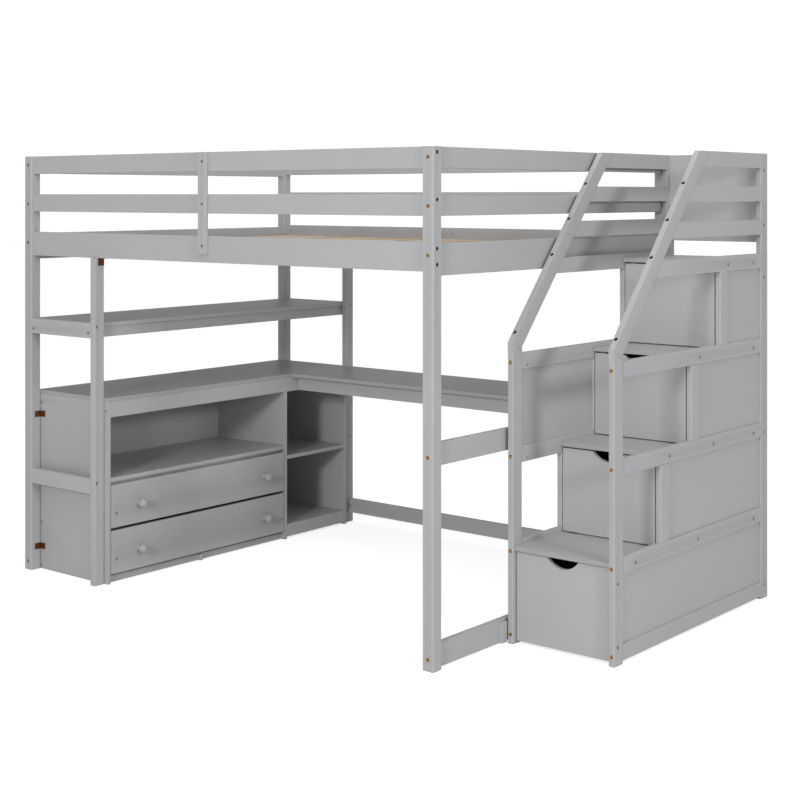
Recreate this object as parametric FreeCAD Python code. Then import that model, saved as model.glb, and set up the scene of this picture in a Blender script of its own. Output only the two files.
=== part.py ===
"""Full-size loft bed with an L-shaped desk, a shelf, a drawer cabinet and a storage stair.

Millimetres, +Z up.  +X runs along the bed towards the stair, +Y from the room side to the wall side.
The boards are placed from the bed's front-left floor corner; export moves the set so that the row's
origin is on the floor at the centre of the footprint.  Each node file holds the boards of one named
piece; boards that touch stay separate solids.
"""
import FreeCAD, Part
import math
import os

V = FreeCAD.Vector
X_AXIS, Y_AXIS, Z_AXIS = V(1, 0, 0), V(0, 1, 0), V(0, 0, 1)

# ---------------------------------------------------------------- driving sizes
BED_L = 2010.0          # bed over its posts, along X
BED_W = 1452.0          # bed over its posts, along Y
BED_H = 1598.0          # top of posts and guard rails
POST = 42.0             # square corner posts
RAIL_T = 22.0           # thickness of every bed rail
LONG_SET = 11.0         # front and back rails sit this far inside the posts' outer faces
END_SET = 12.0          # end rails sit this far inside
EASE = 2.0              # rounding of sawn edges
FINE_EASE = 1.0         # rounding of thin boards and fronts
FRAME_EASE = 3.0        # rounding round the stair's panels

# rails of each side: (bottom, height); a top rail ends at BED_H, so it only has a height
TOP_RAIL_H = {"front": 68.0, "end": 66.0, "back": 58.0}
MID_RAIL = {"front": (1385.0, 67.0), "end": (1385.0, 62.0), "back": (1394.0, 67.0)}
BED_RAIL = {"front": (1215.0, 92.0), "end": (1202.0, 100.0), "back": (1215.0, 96.0)}

GUARD_STILE_X = 973.0   # left edge of the stile that overlays the front rails
GUARD_STILE_W = 42.0
GUARD_STILE_Z = 1243.0

SLAT_COUNT = 13
SLAT_W = 72.0
SLAT_T = 17.0
SLAT_TOP = 1264.0
LEDGER = 20.0           # ledger width; its height follows from the slats' underside
LEDGER_H = 32.0
BEAM_T = 22.0
BEAM_H = 44.0

STRETCHER_LOW = (5.0, 74.0)      # end stretchers: bottom, height
STRETCHER_HIGH = (621.0, 71.0)
BACK_RAIL_LOW = (44.0, 60.0)
BLOCK_W = 28.0          # spacer block on the low stretcher, beside the stair
BLOCK_Z = (6.0, 67.0)

DESK_POST_X = 395.0
DESK_POST_T = 28.0

# shelf over the desk
SHELF_Z = 956.0
SHELF_T = 15.0
SHELF_X0 = 5.0
SHELF_APRON_H = 39.0
SHELF_APRON_T = 18.0
SHELF_APRON_IN = 4.0    # gap between an apron and the post beside it
CROSS_T = 18.0
CROSS_HIGH = (916.0, 57.0)
CROSS_LOW = (337.0, 58.0)

# desk and cabinet
DESK_TOP = 693.0
BOARD = 15.0            # desk tops, cabinet panels, treads, doors and drawer fronts
CAB_X0 = 36.0
CAB_X1 = 441.0
CAB_GAP = 2.0           # cabinet end panels stand this far inside the post faces
WING_Y = 1040.0         # front edge of the back wing
APRON_T = 18.0
APRON_H = 58.0
WING_APRON_IN = 41.0    # back wing apron behind the wing's front edge
DIVIDER_Y = 993.0
FAR_PANEL_Y = 1373.0
NICHE_Z = 379.0
OPEN_SHELF_Z = 336.0
OPEN_FLOOR_Z = 45.0
PLINTH_IN = 2.0         # open section's plinth behind the cabinet's front
PLINTH_T = 15.0
PLINTH_LIFT = 8.0
KICK_IN = 20.0          # kick rail under the drawers
KICK_H = 25.0
FOOT_W = 14.0
BACK_T = 5.0
FRONT_GAP = 3.0         # gap beside each drawer front and door
UPPER_FRONT = (206.0, 161.0)
LOWER_FRONT = (34.0, 162.0)
TRAY_T = 12.0
TRAY_H = 110.0
TRAY_BACK_IN = 25.0     # tray back inside the cabinet's back panel
KNOB_R = 17.5
KNOB_NECK_R = 8.0
KNOB_BASE_R = 14.0
KNOB_OUT = 40.0
KNOB_IN = 138.0         # near knob's axis from the near end of the front
KNOB_IN_FAR = 118.0
KNOB_DOWN = 4.0         # knob axis below the middle of the front
FRONT_SCREW_IN = 29.0   # near screw from the near end of the front
FRONT_SCREW_IN_FAR = 15.0
FRONT_SCREW_DOWN = 108.0
DRAWER_RAIL_H = 24.0    # rail between the niche shelf and the upper drawer

# drawer slides: a fixed channel and a bar that runs in it
CHANNEL_H = 34.0
CHANNEL_T = 1.5
CHANNEL_D = 9.0
SLIDE_RUN = 1.0         # running clearance of the bar, each side

# stair
STAIR_L = 398.0         # stair over its frames, along X
STAIR_D = 1061.0        # stair depth, along Y; its back is in line with the bed's
FRAME_T = 20.0
STILE_W = 53.0
RISE = 303.0
RAIL1 = (9.0, 51.0)     # bottom rail: bottom, height
RAIL2_Z = 277.0
GUARD_SLAT_Z = (1307.0, 1426.0, 1545.0)
TREAD_UP = 23.0         # tread underside above its rail's bottom edge
TREAD1_IN = 9.0         # first tread's front edge behind the frame's front
DOOR_Y = 289.0          # first door's face behind the frame's front
GOING = 204.0
NOSING = 6.0            # tread edge in front of the face below
SLOPE = 1.138           # rise over run of the handrails
HAND_FRONT_UP = 39.0    # bend of the handrail's front edge above its lower end
HAND_REAR_UP = 18.0
PANEL_T = 4.0
PANEL_GROOVE = 6.0
BACK_BOARD_Y = 1417.0
BACK_GUARD_Z = 1279.0
DOOR_UP = 3.0           # gap under a door
DOOR_H = 280.0
STAIR_DRAWER_IN = 17.0  # stair drawer's face behind the frame's front
STAIR_DRAWER_Z = 10.0
STAIR_DRAWER_H = 287.0
STAIR_TRAY_Y = 560.0
STAIR_TRAY_H = 200.0
STAIR_TRAY_T = 12.0
GRIP_CHORD = 117.0      # half-moon grip cut
GRIP_DEPTH = 30.0

# hinges
HINGE_W = 30.0
HINGE_IN = 41.0         # hinge centre from the door's side edge
KNUCKLE_R = 1.7
KNUCKLE_OUT = 2.0       # hinge axis in front of the door's face
KNUCKLE_UP = 2.0        # hinge axis above the tread
PIN_R = 0.8
PIN_GAP = 0.35
LEAF_T = 0.8
LEAF_L = 13.0           # leaf behind the axis

# fasteners
BOLT_R = 6.5
BOLT_T = 1.6
BOLT_SINK = 0.8         # main heads below the face
SIDE_SINK = 2.5         # small heads below the face
SIDE_BOLT_R = 5.0
SOCKET_AF = 5.0
NUT_R = 6.5
NUT_DEEP = 12.0
NUT_IN = 3.0
HEAD_GAP = 0.15
PILOT_R = 3.0
PILOT_DEEP = 8.0
SCREW_R = 4.5
SCREW_DEEP = 2.5

# ---------------------------------------------------------------- derived positions
STAIR_X0 = BED_L
STAIR_X1 = BED_L + STAIR_L
STAIR_Y0 = BED_W - STAIR_D
FRAME_IN0 = STAIR_X0 + FRAME_T           # clear width between the frames
FRAME_IN1 = STAIR_X1 - FRAME_T
FRONT_Y = LONG_SET + RAIL_T              # inner faces of the bed rails
BACK_Y = BED_W - LONG_SET - RAIL_T
LEFT_X = END_SET + RAIL_T
RIGHT_X = BED_L - END_SET - RAIL_T
CAB_Y0 = POST + CAB_GAP
DESK_Y0 = POST + CAB_GAP / 2
DESK_Y1 = BED_W - POST
DESK_Z = DESK_TOP - BOARD
APRON_Z = DESK_Z - APRON_H
DESK_POST_TOP = BED_RAIL["front"][0]
STILE_B0 = BED_W - STILE_W               # back stile of the stair frames
FIRST_DOOR = STAIR_Y0 + DOOR_Y
ORIGIN = V(STAIR_X1 / 2, BED_W / 2, 0)

NODES = {}
CUTTERS = {}


# ---------------------------------------------------------------- building blocks
def add(node, *solids):
    NODES.setdefault(node, []).extend(solids)


def drill(node, cutter):
    CUTTERS.setdefault(node, []).append(cutter)


def box(x0, x1, y0, y1, z0, z1):
    return Part.makeBox(x1 - x0, y1 - y0, z1 - z0, V(x0, y0, z0))


def edge_axis(edge):
    """Index of the axis a straight edge runs along, or None."""
    if len(edge.Vertexes) != 2:
        return None
    d = edge.Vertexes[1].Point - edge.Vertexes[0].Point
    size = [abs(d.x), abs(d.y), abs(d.z)]
    big = max(size)
    return size.index(big) if big > 0 and sum(size) - big < 1e-6 else None


def board(x0, x1, y0, y1, z0, z1, ease=EASE):
    """A sawn board: the four edges along its length are rounded."""
    solid = box(x0, x1, y0, y1, z0, z1)
    sizes = [x1 - x0, y1 - y0, z1 - z0]
    long_axis = sizes.index(max(sizes))
    edges = [e for e in solid.Edges if edge_axis(e) == long_axis]
    return solid.makeFillet(ease, edges)


def sheet(x0, x1, y0, y1, z0, z1, ease=FINE_EASE):
    """A sheet panel with every edge softened."""
    solid = box(x0, x1, y0, y1, z0, z1)
    return solid.makeFillet(ease, solid.Edges)


def prism_yz(points, x0, x1):
    """Polygon given as (y, z) points, extruded from x0 to x1."""
    wire = Part.makePolygon([V(x0, y, z) for y, z in points + points[:1]])
    return Part.Face(wire).extrude(V(x1 - x0, 0, 0))


def prism_xz(points, y0, y1):
    """Polygon given as (x, z) points, extruded from y0 to y1."""
    wire = Part.makePolygon([V(x, y0, z) for x, z in points + points[:1]])
    return Part.Face(wire).extrude(V(0, y1 - y0, 0))


def prism_xy(points, z0, z1):
    """Polygon given as (x, y) points, extruded from z0 to z1."""
    wire = Part.makePolygon([V(x, y, z0) for x, y in points + points[:1]])
    return Part.Face(wire).extrude(V(0, 0, z1 - z0))


def hex_prism(point, axis, across, depth):
    """Hexagonal cutter from a point along an axis."""
    radius = across / math.sqrt(3)
    turn = FreeCAD.Rotation(Z_AXIS, axis)
    corners = [V(radius * math.cos(i * math.pi / 3), radius * math.sin(i * math.pi / 3), 0) for i in range(7)]
    wire = Part.makePolygon([point + turn.multVec(c) for c in corners])
    return Part.Face(wire).extrude(axis * depth)


def bolt(node, point, out, radius=BOLT_R, sink=BOLT_SINK):
    """A socket bolt head let into a face of the node; `out` is the face's outward normal."""
    start = point - out * (BOLT_T + sink)
    drill(node, Part.makeCylinder(radius + HEAD_GAP, BOLT_T + sink + 1, start, out))
    head = Part.makeCylinder(radius, BOLT_T, start, out)
    top = start + out * (BOLT_T + 1)
    add("bolt_heads", head.cut(hex_prism(top, out * -1, SOCKET_AF, 1 + BOLT_T * 0.6)))


def side_bolt(node, point, out):
    """A small head sunk in a drilled hole."""
    bolt(node, point, out, SIDE_BOLT_R, SIDE_SINK)


def blind_hole(node, point, out, radius=PILOT_R, deep=PILOT_DEEP):
    """An open blind hole: a spare pilot hole, or the pocket of a screw head."""
    drill(node, Part.makeCylinder(radius, deep + 1, point - out * deep, out))


def barrel_nut(node, point, out):
    """A drilled hole with a barrel nut sunk in it."""
    bottom = point - out * NUT_DEEP
    drill(node, Part.makeCylinder(NUT_R + HEAD_GAP, NUT_DEEP + 1, bottom, out))
    nut = Part.makeCylinder(NUT_R, NUT_DEEP - NUT_IN, bottom, out)
    slot_z = NUT_DEEP - NUT_IN
    top = bottom + out * slot_z
    add("barrel_nuts", nut.cut(hex_prism(top + out, out * -1, SOCKET_AF, 3.0)))


def half_moon(x_mid, z_top, y0, y1):
    """Cutter for a grip: a circle whose chord lies on the board's top edge."""
    radius = (GRIP_CHORD ** 2 / 4 + GRIP_DEPTH ** 2) / (2 * GRIP_DEPTH)
    centre = V(x_mid, y0 - 1, z_top + radius - GRIP_DEPTH)
    return Part.makeCylinder(radius, y1 - y0 + 2, centre, Y_AXIS)


# ---------------------------------------------------------------- bed
def posts():
    corners = {
        "front_left_post": (0, 0),
        "front_right_post": (BED_L - POST, 0),
        "back_left_post": (0, BED_W - POST),
        "back_right_post": (BED_L - POST, BED_W - POST),
    }
    for name, (x, y) in corners.items():
        add(name, board(x, x + POST, y, y + POST, 0, BED_H, 3.0))
    for y in (0, BED_W - POST):
        add("desk_posts", board(DESK_POST_X, DESK_POST_X + DESK_POST_T, y, y + POST, 0, DESK_POST_TOP))


def long_rails():
    """Guard rails and bed rails of the front and the back."""
    faces = {"front": LONG_SET, "back": BED_W - LONG_SET - RAIL_T}
    for side, y in faces.items():
        spans = {
            "top": (BED_H - TOP_RAIL_H[side], TOP_RAIL_H[side]),
            "mid": MID_RAIL[side],
        }
        for z, h in spans.values():
            add(side + "_guard_rails", board(POST, BED_L - POST, y, y + RAIL_T, z, z + h))
        z, h = BED_RAIL[side]
        add(side + "_bed_rail", board(POST, BED_L - POST, y, y + RAIL_T, z, z + h))
    x1 = GUARD_STILE_X + GUARD_STILE_W
    add("front_guard_stile", board(GUARD_STILE_X, x1, 0, LONG_SET, GUARD_STILE_Z, BED_H))
    z, h = BACK_RAIL_LOW
    y1 = BED_W - LONG_SET
    add("back_lower_rail", board(DESK_POST_X + DESK_POST_T, BED_L - POST, y1 - RAIL_T, y1, z, z + h))


def end_rails():
    """Guard rails, bed rails and stretchers of the two ends."""
    spans = {
        "end_guard_rails": [(BED_H - TOP_RAIL_H["end"], TOP_RAIL_H["end"]), MID_RAIL["end"]],
        "end_bed_rails": [BED_RAIL["end"]],
        "end_stretchers": [STRETCHER_LOW, STRETCHER_HIGH],
    }
    for node, heights in spans.items():
        for x in (END_SET, RIGHT_X):
            for z, h in heights:
                add(node, board(x, x + RAIL_T, POST, BED_W - POST, z, z + h))
    y1 = STAIR_Y0 - 2
    z, h = BLOCK_Z
    add("stretcher_block", sheet(BED_L - END_SET, BED_L, y1 - BLOCK_W, y1, z, z + h))


def slats():
    """Ledgers, centre beam and slats."""
    under = SLAT_TOP - SLAT_T
    for y in (FRONT_Y, BACK_Y - LEDGER):
        add("slat_supports", board(POST, BED_L - POST, y, y + LEDGER, under - LEDGER_H, under))
    mid = BED_W / 2
    add("slat_supports", board(LEFT_X, RIGHT_X, mid - BEAM_T / 2, mid + BEAM_T / 2, under - BEAM_H, under))
    first = POST + SLAT_W / 2 + 10
    pitch = (BED_L - 2 * first) / (SLAT_COUNT - 1)
    for i in range(SLAT_COUNT):
        x = first + i * pitch
        add("bed_slats", board(x - SLAT_W / 2, x + SLAT_W / 2, FRONT_Y + 1, BACK_Y - 1, under, SLAT_TOP))


# ---------------------------------------------------------------- shelf, desk and cabinet
def shelf():
    """Shelf board, notched round the corner posts, its aprons and the cross rails of both ends."""
    y0, y1 = CROSS_T, BED_W - CROSS_T
    outline = [
        (SHELF_X0, POST), (POST, POST), (POST, y0), (DESK_POST_X, y0),
        (DESK_POST_X, y1), (POST, y1), (POST, BED_W - POST), (SHELF_X0, BED_W - POST),
    ]
    add("shelf_board", prism_xy(outline, SHELF_Z, SHELF_Z + SHELF_T))
    left = POST + SHELF_APRON_IN
    right = DESK_POST_X - SHELF_APRON_IN - SHELF_APRON_T
    for x in (left, right):
        add("shelf_aprons", board(x, x + SHELF_APRON_T, y0, y1, SHELF_Z - SHELF_APRON_H, SHELF_Z))
    for y in (0, y1):
        for z, h in (CROSS_HIGH, CROSS_LOW):
            add("end_cross_rails", board(POST, DESK_POST_X, y, y + CROSS_T, z, z + h))


def desk():
    """The two desk tops and the aprons under them."""
    add("desk_side_top", sheet(CAB_X0, CAB_X1, DESK_Y0, DESK_Y1, DESK_Z, DESK_TOP, EASE))
    add("desk_back_top", sheet(CAB_X1, RIGHT_X, WING_Y, DESK_Y1, DESK_Z, DESK_TOP, EASE))
    inner = CAB_Y0 + BOARD
    add("desk_aprons", board(CAB_X1 - APRON_T, CAB_X1, inner, FAR_PANEL_Y, APRON_Z, DESK_Z))
    front = WING_Y + WING_APRON_IN
    for y in (front, DESK_Y1 - APRON_T):
        add("desk_aprons", board(CAB_X1, RIGHT_X, y, y + APRON_T, APRON_Z, DESK_Z))


def cabinet():
    """Panels, shelves and plinths of the cabinet under the side wing."""
    back = CAB_X0 + BACK_T
    inner = CAB_Y0 + BOARD
    far = FAR_PANEL_Y + BOARD
    add("cabinet_end_panel", sheet(CAB_X0, CAB_X1, CAB_Y0, inner, 0, DESK_Z))
    add("cabinet_far_panel", sheet(CAB_X0, CAB_X1, FAR_PANEL_Y, far, 0, DESK_Z))
    notch = CAB_X1 - APRON_T
    outline = [(back, 0), (CAB_X1, 0), (CAB_X1, APRON_Z), (notch, APRON_Z), (notch, DESK_Z), (back, DESK_Z)]
    add("cabinet_divider", prism_xz(outline, DIVIDER_Y, DIVIDER_Y + BOARD))
    add("cabinet_back_panel", box(CAB_X0, back, inner, FAR_PANEL_Y, 10, DESK_Z))
    add("niche_shelf", sheet(back, CAB_X1, inner, DIVIDER_Y, NICHE_Z, NICHE_Z + BOARD))
    open_y0 = DIVIDER_Y + BOARD
    plinth_x = CAB_X1 - PLINTH_IN - PLINTH_T
    for z, front in ((OPEN_SHELF_Z, CAB_X1), (OPEN_FLOOR_Z, plinth_x)):
        add("open_shelf_boards", sheet(back, front, open_y0, FAR_PANEL_Y, z, z + BOARD))
    x1 = plinth_x + PLINTH_T
    add("cabinet_plinths", board(plinth_x, x1, open_y0, FAR_PANEL_Y, PLINTH_LIFT, OPEN_FLOOR_Z + BOARD))
    rail_x = CAB_X1 - BOARD - 2.0
    add("drawer_top_rail", board(rail_x - BOARD, rail_x, inner, DIVIDER_Y, NICHE_Z - DRAWER_RAIL_H, NICHE_Z))
    x1 = CAB_X1 - KICK_IN
    add("cabinet_plinths", board(x1 - PLINTH_T, x1, inner, DIVIDER_Y, 0, KICK_H))
    foot_y = (inner + DIVIDER_Y - FOOT_W) / 2
    add("cabinet_plinths", board(x1, x1 + FOOT_W, foot_y, foot_y + FOOT_W, 0, KICK_H))


def channel(x_wall, y_wall, start, end, z_mid, direction, side):
    """Fixed C-channel screwed to a wall.

    direction is the axis letter the channel runs along; side is +1 or -1, the way its flanges point.
    """
    half = CHANNEL_H / 2
    profile = [
        (0, -half), (CHANNEL_D, -half), (CHANNEL_D, CHANNEL_T - half), (CHANNEL_T, CHANNEL_T - half),
        (CHANNEL_T, half - CHANNEL_T), (CHANNEL_D, half - CHANNEL_T), (CHANNEL_D, half), (0, half),
    ]
    if direction == "x":
        points = [V(start, y_wall + side * d, z_mid + z) for d, z in profile]
        sweep = V(end - start, 0, 0)
    else:
        points = [V(x_wall + side * d, start, z_mid + z) for d, z in profile]
        sweep = V(0, end - start, 0)
    return Part.Face(Part.makePolygon(points + points[:1])).extrude(sweep)


def tray(x0, x1, y0, y1, z0, z1, t):
    """Four walls and a bottom let in between them, as separate boards."""
    floor_up = 8.0
    floor_t = 6.0
    return [
        box(x0, x1, y0, y0 + t, z0, z1),
        box(x0, x1, y1 - t, y1, z0, z1),
        box(x0, x0 + t, y0 + t, y1 - t, z0, z1),
        box(x1 - t, x1, y0 + t, y1 - t, z0, z1),
        box(x0 + t, x1 - t, y0 + t, y1 - t, z0 + floor_up, z0 + floor_up + floor_t),
    ]


def cabinet_drawers():
    """Two drawers with round knobs, each on a pair of side slides."""
    inner = CAB_Y0 + BOARD
    reach = CHANNEL_D + SLIDE_RUN + 2.0
    y0, y1 = inner + reach, DIVIDER_Y - reach
    x_face = CAB_X1
    x_back = CAB_X0 + BACK_T + TRAY_BACK_IN
    x_front = x_face - BOARD
    bar_half = CHANNEL_H / 2 - CHANNEL_T - SLIDE_RUN
    for name, (z, h) in (("upper_drawer", UPPER_FRONT), ("lower_drawer", LOWER_FRONT)):
        front = sheet(x_front, x_face, inner + FRONT_GAP, DIVIDER_Y - FRONT_GAP, z, z + h, EASE)
        add(name + "_front", front)
        tray_z = z + 14.0
        add(name + "_tray", *tray(x_back, x_front, y0, y1, tray_z, tray_z + TRAY_H, TRAY_T))
        z_mid = tray_z + TRAY_H / 2
        start, end = CAB_X0 + BACK_T, x_front - 4.0
        add("drawer_runners", channel(0, inner, start, end, z_mid, "x", 1))
        add("drawer_runners", channel(0, DIVIDER_Y, start, end, z_mid, "x", -1))
        for wall, edge in ((inner + CHANNEL_T + SLIDE_RUN, y0), (DIVIDER_Y - CHANNEL_T - SLIDE_RUN, y1)):
            low, high = min(wall, edge), max(wall, edge)
            add(name + "_tray", box(x_back, end, low, high, z_mid - bar_half, z_mid + bar_half))
        for y in (inner + KNOB_IN, DIVIDER_Y - KNOB_IN_FAR):
            add(name + "_knobs", knob(V(x_face, y, z + h / 2 - KNOB_DOWN)))
        for y in (inner + FRONT_SCREW_IN, DIVIDER_Y - FRONT_SCREW_IN_FAR):
            blind_hole(name + "_front", V(x_face, y, z + h - FRONT_SCREW_DOWN), X_AXIS, SCREW_R, SCREW_DEEP)


def knob(base):
    """Turned ball knob standing out of a face along +X."""
    ball = Part.makeSphere(KNOB_R, base + X_AXIS * (KNOB_OUT - KNOB_R))
    neck = Part.makeCone(KNOB_BASE_R, KNOB_NECK_R, KNOB_OUT - 2 * KNOB_R + 4, base, X_AXIS)
    return ball.fuse(neck).removeSplitter()


# ---------------------------------------------------------------- stair
def tread_z(step):
    """Underside of tread 1, 2, 3 or 4."""
    return RAIL2_Z + TREAD_UP + (step - 1) * RISE


def rail_z(index):
    """Bottom and top of frame rail 1 to 5."""
    if index == 1:
        return RAIL1[0], RAIL1[0] + RAIL1[1]
    bottom = RAIL2_Z + (index - 2) * RISE
    return bottom, bottom + STILE_W


def door_face(step):
    """Front face of the door that closes the box under tread 2, 3 or 4."""
    return FIRST_DOOR + (step - 2) * GOING


def hand_front(z):
    """Y of the handrail's front edge at a height."""
    return STAIR_Y0 + (z - rail_z(4)[1] - HAND_FRONT_UP) / SLOPE


def hand_rear(z):
    """Y of the handrail's rear edge at a height."""
    return STAIR_Y0 + STILE_W + (z - rail_z(4)[1] - HAND_REAR_UP) / SLOPE


def frame_bays(left):
    """(y0, y1, z0, z1) of every panelled bay of a side frame."""
    y_in = STAIR_Y0 + STILE_W
    bays = [(y_in, STILE_B0, rail_z(1)[1], rail_z(2)[0])]
    for step in (2, 3, 4):
        y0 = door_face(step) + STILE_W
        bays.append((y0, STILE_B0, rail_z(step)[1], rail_z(step + 1)[0]))
    if left:
        bays.append((y_in, door_face(3), rail_z(3)[1], rail_z(4)[0]))
    return bays


def side_frame(name, x0, left):
    """Stiles, rails, sloped handrail, guard slats and panels of one side of the stair."""
    x1 = x0 + FRAME_T
    y_in = STAIR_Y0 + STILE_W
    joint_z = rail_z(4)[1]
    members = [
        board(x0, x1, STAIR_Y0, y_in, 0, joint_z, FRAME_EASE),
        board(x0, x1, STILE_B0, BED_W, 0, BED_H, FRAME_EASE),
    ]
    for index in (1, 2, 3, 4):
        z0, z1 = rail_z(index)
        members.append(board(x0, x1, y_in, STILE_B0, z0, z1, FRAME_EASE))
    for step in (2, 3, 4):
        y = door_face(step)
        members.append(board(x0, x1, y, y + STILE_W, rail_z(step)[1], rail_z(step + 1)[0], FRAME_EASE))
    z0, z1 = rail_z(5)
    top_rail = [(hand_rear(z0), z0), (STILE_B0, z0), (STILE_B0, z1), (hand_rear(z1), z1)]
    members.append(prism_yz(top_rail, x0, x1))
    mid = (x0 + x1) / 2
    panels = []
    for y0, y1, b0, b1 in frame_bays(left):
        g = PANEL_GROOVE
        panels.append(box(mid - PANEL_T / 2, mid + PANEL_T / 2, y0 - g, y1 + g, b0 - g, b1 + g))
    grooves = [box(p.BoundBox.XMin, p.BoundBox.XMax, p.BoundBox.YMin, p.BoundBox.YMax,
                   p.BoundBox.ZMin, p.BoundBox.ZMax) for p in panels]
    for member in members:
        near = [g for g in grooves if g.BoundBox.intersect(member.BoundBox)]
        add(name + "_frame", member.cut(near) if near else member)
    add(name + "_panels", *panels)
    hand = [
        (STAIR_Y0, joint_z), (y_in, joint_z), (y_in, joint_z + HAND_REAR_UP),
        (hand_rear(BED_H), BED_H), (hand_front(BED_H), BED_H), (STAIR_Y0, joint_z + HAND_FRONT_UP),
    ]
    rail = prism_yz(hand, x0, x1)
    slanted = [e for e in rail.Edges if e.Length > 500]
    add(name + "_handrail", rail.makeFillet(EASE, slanted))
    for z in GUARD_SLAT_Z:
        top = z + STILE_W if z + STILE_W < BED_H else BED_H
        outline = [(hand_rear(z), z), (STILE_B0, z), (STILE_B0, top), (hand_rear(top), top)]
        add("stair_guard_slats", prism_yz(outline, x0, x1))


def stair_frames():
    side_frame("stair_left", STAIR_X0, True)
    side_frame("stair_right", FRAME_IN1, False)


def treads():
    """Tread boards run from their nosing to the back board; the top one covers it."""
    for step in (1, 2, 3, 4):
        z = tread_z(step)
        front = STAIR_Y0 + TREAD1_IN if step == 1 else door_face(step) - NOSING
        back = BACK_BOARD_Y + BOARD if step == 4 else BACK_BOARD_Y
        add("stair_treads", sheet(FRAME_IN0, FRAME_IN1, front, back, z, z + BOARD, EASE))
    y1 = BACK_BOARD_Y + BOARD
    add("stair_back_boards", box(FRAME_IN0, FRAME_IN1, BACK_BOARD_Y, y1, RAIL1[0], tread_z(4)))
    add("stair_back_boards", board(FRAME_IN0, FRAME_IN1, BACK_BOARD_Y, y1, BACK_GUARD_Z, BED_H))


def hinge(step, x_mid):
    """One butt hinge folded in the gap under a door; only its knuckles show in front.

    The leaf on the tread carries the pin and the outer knuckles, the leaf on the door the middle one.
    """
    base = tread_z(step - 1) + BOARD
    yc, zc = door_face(step) - KNUCKLE_OUT, base + KNUCKLE_UP
    third = HINGE_W / 3
    x0 = x_mid - HINGE_W / 2
    x3 = x0 + HINGE_W
    m0, m1 = x0 + third + PIN_GAP, x0 + 2 * third - PIN_GAP
    clear = yc + KNUCKLE_R + PIN_GAP
    pin = Part.makeCylinder(PIN_R, HINGE_W, V(x0, yc, zc), X_AXIS)
    fixed = box(x0, x3, clear, yc + LEAF_L, base, base + LEAF_T).fuse(pin)
    for start in (x0, x0 + 2 * third):
        fixed = fixed.fuse(Part.makeCylinder(KNUCKLE_R, third, V(start, yc, zc), X_AXIS))
        fixed = fixed.fuse(box(start, start + third, yc, clear, base, base + LEAF_T))
    add("tread_hinge_leaves", fixed.removeSplitter())
    top = base + DOOR_UP
    moving = Part.makeCylinder(KNUCKLE_R, m1 - m0, V(m0, yc, zc), X_AXIS)
    moving = moving.fuse(box(m0, m1, yc, clear, top - LEAF_T, top))
    moving = moving.fuse(box(x0, x3, clear, yc + LEAF_L, top - LEAF_T, top))
    bore = Part.makeCylinder(PIN_R + PIN_GAP, HINGE_W, V(x0, yc, zc), X_AXIS)
    add("step_door_%d_hinges" % step, moving.cut(bore).removeSplitter())


def doors():
    """Drop-down doors of the three upper boxes, their hinges and stops."""
    x0, x1 = FRAME_IN0 + FRONT_GAP, FRAME_IN1 - FRONT_GAP
    mid = (x0 + x1) / 2
    for step in (2, 3, 4):
        y = door_face(step)
        z = tread_z(step - 1) + BOARD + DOOR_UP
        panel = sheet(x0, x1, y, y + BOARD, z, z + DOOR_H)
        add("step_door_%d" % step, panel.cut(half_moon(mid, z + DOOR_H, y, y + BOARD)))
        for x in (x0 + HINGE_IN, x1 - HINGE_IN):
            hinge(step, x)
        top = tread_z(step)
        for x in (x0 + 12.0, x1 - 32.0):
            stop_y = y + BOARD + 0.5
            add("door_stops", box(x, x + 20.0, stop_y, stop_y + 14.0, top - 14.0, top))


def stair_drawer():
    """Deep drawer under the first tread."""
    y = STAIR_Y0 + STAIR_DRAWER_IN
    x0, x1 = FRAME_IN0 + FRONT_GAP, FRAME_IN1 - FRONT_GAP
    z0, z1 = STAIR_DRAWER_Z, STAIR_DRAWER_Z + STAIR_DRAWER_H
    front = sheet(x0, x1, y, y + BOARD, z0, z1)
    add("stair_drawer_front", front.cut(half_moon((x0 + x1) / 2, z1, y, y + BOARD)))
    reach = CHANNEL_D + SLIDE_RUN + 2.0
    t0, t1 = FRAME_IN0 + reach, FRAME_IN1 - reach
    y0, y1 = y + BOARD, y + BOARD + STAIR_TRAY_Y
    base = z0 + 12.0
    add("stair_drawer_tray", *tray(t0, t1, y0, y1, base, base + STAIR_TRAY_H, STAIR_TRAY_T))
    z_mid = base + STAIR_TRAY_H / 2
    start, end = y0 + 4.0, STILE_B0 + 12.0
    add("drawer_runners", channel(FRAME_IN0, 0, start, end, z_mid, "y", 1))
    add("drawer_runners", channel(FRAME_IN1, 0, start, end, z_mid, "y", -1))
    bar_half = CHANNEL_H / 2 - CHANNEL_T - SLIDE_RUN
    for wall, edge in ((FRAME_IN0 + CHANNEL_T + SLIDE_RUN, t0), (FRAME_IN1 - CHANNEL_T - SLIDE_RUN, t1)):
        low, high = min(wall, edge), max(wall, edge)
        add("stair_drawer_tray", box(low, high, start, y1, z_mid - bar_half, z_mid + bar_half))


# ---------------------------------------------------------------- brackets and fasteners
def brackets():
    """Folded brackets: two in the corner of post and cabinet, one under the front bed rail."""
    w, t, h = 28.0, 2.0, 23.0
    for z in (601.0, 89.0):
        leg = box(POST, POST + t, CAB_Y0 - w, CAB_Y0, z - h / 2, z + h / 2)
        back = box(POST, POST + w, CAB_Y0 - t, CAB_Y0, z - h / 2, z + h / 2)
        add("corner_brackets", leg.fuse(back).removeSplitter())
    x = DESK_POST_X + DESK_POST_T
    top = DESK_POST_TOP
    leg = box(x, x + t, POST - w - 1, POST - 1, top - w, top)
    cap = box(x, x + w, POST - w - 1, POST - 1, top - t, top)
    add("corner_brackets", leg.fuse(cap).removeSplitter())


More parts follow.
